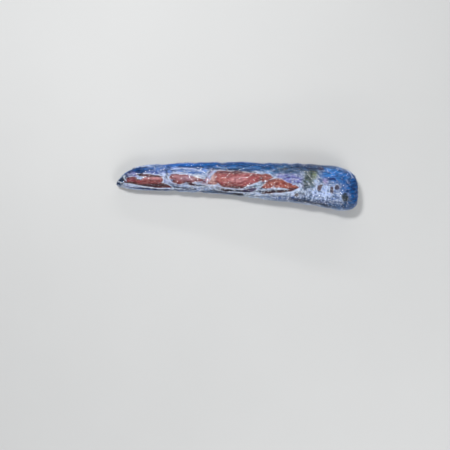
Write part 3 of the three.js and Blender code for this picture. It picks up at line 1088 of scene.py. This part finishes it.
def frost_ground(shader):
    """The ground under the frost, in slow shades and hues, with dark pits and pale specks."""
    shade = shader.ranged(shader.noise(shader.lay, 0.24, 4.0, 0.7, along=0.35), 0.36, 0.64)
    shade = shader.maths("MAXIMUM", shade, shader.times(shader.field("calm"), 0.55))
    ground = tinted(shader, "ground", (0.2, 0.27, 0.34), (1.6, 1.5, 1.4), shade)
    hue = shader.noise(shader.place, 0.16, 2.0, 0.6, output="Color")
    ground = shader.blend(0.15, ground, hue, "OVERLAY")
    crystals = shader.node("TexVoronoi", Vector=shader.place, Scale=0.85, output="Color")
    number = shader.node("SeparateColor", crystals)
    ground = shader.blend(shader.ranged(number, 0.14, 0.08, 0.0, 0.4), ground, FROST_PITS)
    specks = shader.times(shader.ranged(number, 0.86, 0.93, 0.0, 0.9), shader.field("cover"))
    return shader.blend(specks, ground, FROST_SPECKS)


def frost_colour(shader):
    """White frost over the darker ground, how much of it the frost covers, and its grain."""
    grain = shader.noise(shader.place, 0.6, 4.0, 0.74)
    white = frost_cover(shader, grain)
    bright = shader.blend(shader.ranged(grain, 0.36, 0.6), FROST_BLUE, FROST_WHITE)
    # The frost takes on some of the ground's colour, with its painted blue reflection and painted
    # shade.
    tint = shader.blend(1.0, shader.field("ground", "Color"), (1.9, 1.9, 1.9, 1), "MULTIPLY")
    bright = shader.blend(0.24, bright, tint)
    return shader.blend(white, frost_ground(shader), bright), white, grain


def patch_edge(shader):
    """Where the flesh is bare, up to a ragged edge, and the broken white rim round it, frost with
    painted glints.
    """
    ragged = shader.times_plus(shader.noise(shader.place, 0.5, 4.0, 0.72), 1.1, -0.55)
    share = shader.plus(shader.field("bare"), ragged)
    rim = shader.times(shader.ranged(share, 0.22, 0.44), shader.ranged(share, 0.52, 0.7, 1.0, 0.0))
    rim = shader.times(rim, shader.ranged(shader.noise(shader.place, 0.22), 0.42, 0.58))
    return shader.ranged(share, 0.42, 0.58), shader.times(rim, 0.85)


def flesh_material():
    """Red-brown frozen flesh where the film is clear, granular frost everywhere else."""
    shader = Shader("frozen_flesh")
    bare, rim = patch_edge(shader)
    frost, white, grain = frost_colour(shader)
    colour = shader.blend(bare, frost, flesh_colour(shader))
    # The rim round the patches: frost with painted glints.
    colour = shader.blend(rim, colour, PATCH_RIM_FROST_AND_GLINT)
    # Stains, and the painted shade at the tail's tip.
    spot = shader.times_plus(shader.noise(shader.place, 0.42, 4.0, 0.75), 1.3, -0.65)
    spot = shader.ranged(shader.plus(spot, shader.field("spot")), 0.2, 0.75, 0.0, 0.88)
    colour = shader.blend(spot, colour, tinted(shader, "stain_and_shade", (0.4,) * 3, (1.1,) * 3, grain))
    # Painted shade darkens the creases.
    colour = shader.blend(shader.times(shader.field("dark"), 0.85), colour, CREASE_PAINTED_SHADE)

    # Fine relief: crystals of ice stand out, flesh is nearly smooth.
    rise = shader.times(shader.plus(grain, white), shader.ranged(bare, 0.0, 1.0, 1.0, 0.25))
    return shader.close(shader.node(
        "BsdfPrincipled",
        Base_Color=colour,
        Roughness=shader.ranged(bare, 0.0, 1.0, 0.65, 0.42),
        Specular_IOR_Level=0.12,
        Normal=shader.node("Bump", Strength=0.35, Distance=0.0006, Height=rise),
    ))


def ice_material():
    """Cloudy crystals, some clear and bluish and some white."""
    shader = Shader("ice_grains")
    tone = shader.times_plus(shader.noise(shader.place, 1.2), 0.5, shader.field("grey"))
    colour = shader.blend(shader.ranged(tone, 0.3, 1.0), ICE_BLUE, ICE_WHITE)
    return shader.close(shader.node("BsdfPrincipled", Base_Color=colour, Roughness=0.3))


def film_relief(shader):
    """The normal of crinkled film: long wrinkles with a fine crackle on them."""
    crinkle = shader.noise(shader.lay, 0.3, 4.0, 0.5, along=0.22)
    fine = shader.noise(shader.place, 0.8, 3.0, 0.6)
    rise = shader.times_plus(fine, 0.16, crinkle)
    return shader.node("Bump", Strength=0.8, Distance=0.0018, Height=rise)


def film_material():
    """Clear polythene: mostly see-through, glossy at a slant, milky where it is creased."""
    shader = Shader("clear_film")
    normal = film_relief(shader)
    gloss = shader.node("BsdfGlossy", Color=(1, 1, 1, 1), Roughness=0.05, Normal=normal)
    clear = shader.node("BsdfTransparent", Color=(0.98, 0.99, 1.0, 1))
    slant = shader.node("Fresnel", IOR=1.45, Normal=normal)
    film = shader.layered(shader.times(slant, 0.6), clear, gloss)
    milk = shader.node("BsdfPrincipled", Base_Color=FILM_MILK, Roughness=0.4)
    streaks = shader.noise(shader.lay, 0.6, 4.0, 0.7, along=0.16)
    haze = shader.times(shader.field("haze"), shader.ranged(streaks, 0.46, 0.66, 0.05, 1.0))
    return shader.close(shader.layered(haze, film, milk))


def fold_material():
    """Film lying several times over itself: milky white, still letting some light through; the
    white is partly a painted highlight.
    """
    shader = Shader("bunched_film")
    tone = shader.ranged(shader.noise(shader.place, 0.5, 4.0, 0.65), 0.36, 0.6)
    white = shader.blend(tone, FOLD_BLUE, FOLD_WHITE)
    colour = shader.blend(shader.ranged(shader.field("milk"), 0.1, 0.5), FOLD_CLEAR, white)
    milk = shader.node("BsdfPrincipled", Base_Color=colour, Roughness=0.22)
    clear = shader.node("BsdfTransparent", Color=(1, 1, 1, 1))
    thick = shader.ranged(shader.noise(shader.place, 0.2), 0.34, 0.52, 0.35, 1.0)
    return shader.close(shader.layered(thick, clear, milk))


def floor_material():
    shader = Shader("studio_floor")
    tone = shader.noise(shader.node("TexCoord", output="Object"), 3.0)
    colour = shader.blend(tone, (0.57, 0.57, 0.565, 1), (0.61, 0.61, 0.605, 1))
    return shader.close(shader.node("BsdfPrincipled", Base_Color=colour, Roughness=0.6))


# ---- the piece

def build_piece(node):
    """The clear film with its folds, and the frozen flesh and loose ice inside it."""
    skin = Skin(node)
    bare, flesh, dots = window_field(skin)
    fold_height, white, dark = fold_fields(skin)
    ground, cover, calm, stain_and_shade, spot = frost_fields(skin)
    # Folds whiten the frost beside them, partly as painted highlight.
    cover = np.maximum(cover, white)
    bare = np.maximum(bare, other_windows(skin)) * (1 - smoothstep(white, 0.4, 0.9))
    frosted = 1 - bare

    crinkle = film_crinkles(skin) * (1 - 0.6 * bare)
    lumps = FILM_LUMPS_MM * skin.clouds(6, seed=67)
    film_height = -FILM_INSET_MM - FILM_SLACK_MM + fold_height + crinkle + lumps
    film_height = np.minimum(film_height, -FILM_INSET_MM)
    film_points = skin.moved(film_height)
    haze = np.clip(0.2 + 0.3 * skin.clouds(16, seed=79, stretch=3), 0, 1)
    film = add_skin("film_wrap", film_points, film_material(), dict(
        haze=haze * cover * (1 - 0.6 * bare), lay=skin.lay))
    folds = add_folds(skin, film_points, cover, bare)

    gap = mix(BARE_GAP_MM, FROST_GAP_MM, frosted)
    grit = frosted * cover * grain_numbers(skin.points, 2.6, seed=61)
    flesh_points = skin.moved(film_height - gap + FROST_GRIT_MM * grit)
    core = add_skin("frozen_fish", flesh_points, flesh_material(), dict(
        bare=bare, flesh=opaque(flesh), dots=dots, ground=opaque(ground), cover=cover, calm=calm,
        dark=dark, stain_and_shade=opaque(stain_and_shade), spot=spot, lay=skin.lay))

    edge = 4 * bare * (1 - bare)
    sown = (frosted * cover**2 + 0.6 * edge) * (1 - dark) * (1 - spot)
    ice = add_ice_grains(skin, flesh_points, sown)

    slots = ((core, "frozen_flesh"), (ice, "frozen_flesh"), (film, "clear_film"),
             (folds, "clear_film"))
    for piece, slot in slots:
        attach(piece, "root")
        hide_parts(NODE)


# ---- studio

def add_floor():
    """A round pale floor that curves up far outside the view."""
    lean = np.linspace(0, FLOOR_RISE, FLOOR_RINGS)
    curve = FLOOR_FLAT_MM + FLOOR_CURVE_MM * np.sin(lean)
    reach = np.concatenate([[0.5 * FLOOR_FLAT_MM], curve])[:, None]
    level = np.concatenate([[0], FLOOR_CURVE_MM * (1 - np.cos(lean))])[:, None]
    turn = np.arange(FLOOR_SIDES) * 2 * math.pi / FLOOR_SIDES
    rings = np.stack([reach * np.cos(turn), reach * np.sin(turn), level + 0 * turn], -1)
    points = np.concatenate([[(0, 0, 0)], rings.reshape(-1, 3)])
    faces = (1 + tube_faces(len(rings), FLOOR_SIDES)[:, ::-1]).tolist()
    faces += [(0, 1 + n, 1 + (n + 1) % FLOOR_SIDES) for n in range(FLOOR_SIDES)]
    floor = add_mesh("studio_floor", points, faces, floor_material())


def add_light(name, place, size, power):
    """A soft rectangular light, aimed at the piece."""
    data = bpy.data.lights.new(name, "AREA")
    data.shape = "RECTANGLE"
    data.size, data.size_y = size
    data.energy = power
    light = link(name, data)
    light.location = place
    light.rotation_euler = (-Vector(place)).to_track_quat("-Z", "Y").to_euler()


def add_studio():
    scene = bpy.context.scene
    scene.view_settings.view_transform = "Standard"
    scene.world = bpy.data.worlds.new("studio_air")
    scene.world.use_nodes = True
    air = scene.world.node_tree.nodes["Background"]
    air.inputs["Color"].default_value = AIR_COLOUR
    air.inputs["Strength"].default_value = AIR_STRENGTH
    for light in LIGHTS:
        add_light(*light)


def add_camera():
    data = bpy.data.cameras.new("camera")
    data.sensor_width = SENSOR_MM
    data.lens = SENSOR_MM * FOCAL_PX / FRAME_PX
    data.clip_start, data.clip_end = 0.05, 20
    camera = link("camera", data)
    camera.location = Vector(CAMERA_MM) * MM
    bpy.context.scene.camera = camera


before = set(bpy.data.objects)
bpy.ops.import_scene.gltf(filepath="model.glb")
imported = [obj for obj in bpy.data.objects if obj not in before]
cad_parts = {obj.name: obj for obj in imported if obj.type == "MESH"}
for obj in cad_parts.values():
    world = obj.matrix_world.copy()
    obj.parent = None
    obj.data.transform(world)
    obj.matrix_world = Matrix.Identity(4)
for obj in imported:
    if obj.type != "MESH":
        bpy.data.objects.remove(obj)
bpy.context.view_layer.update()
add_camera()
build_piece(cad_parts[NODE])
add_floor()
add_studio()
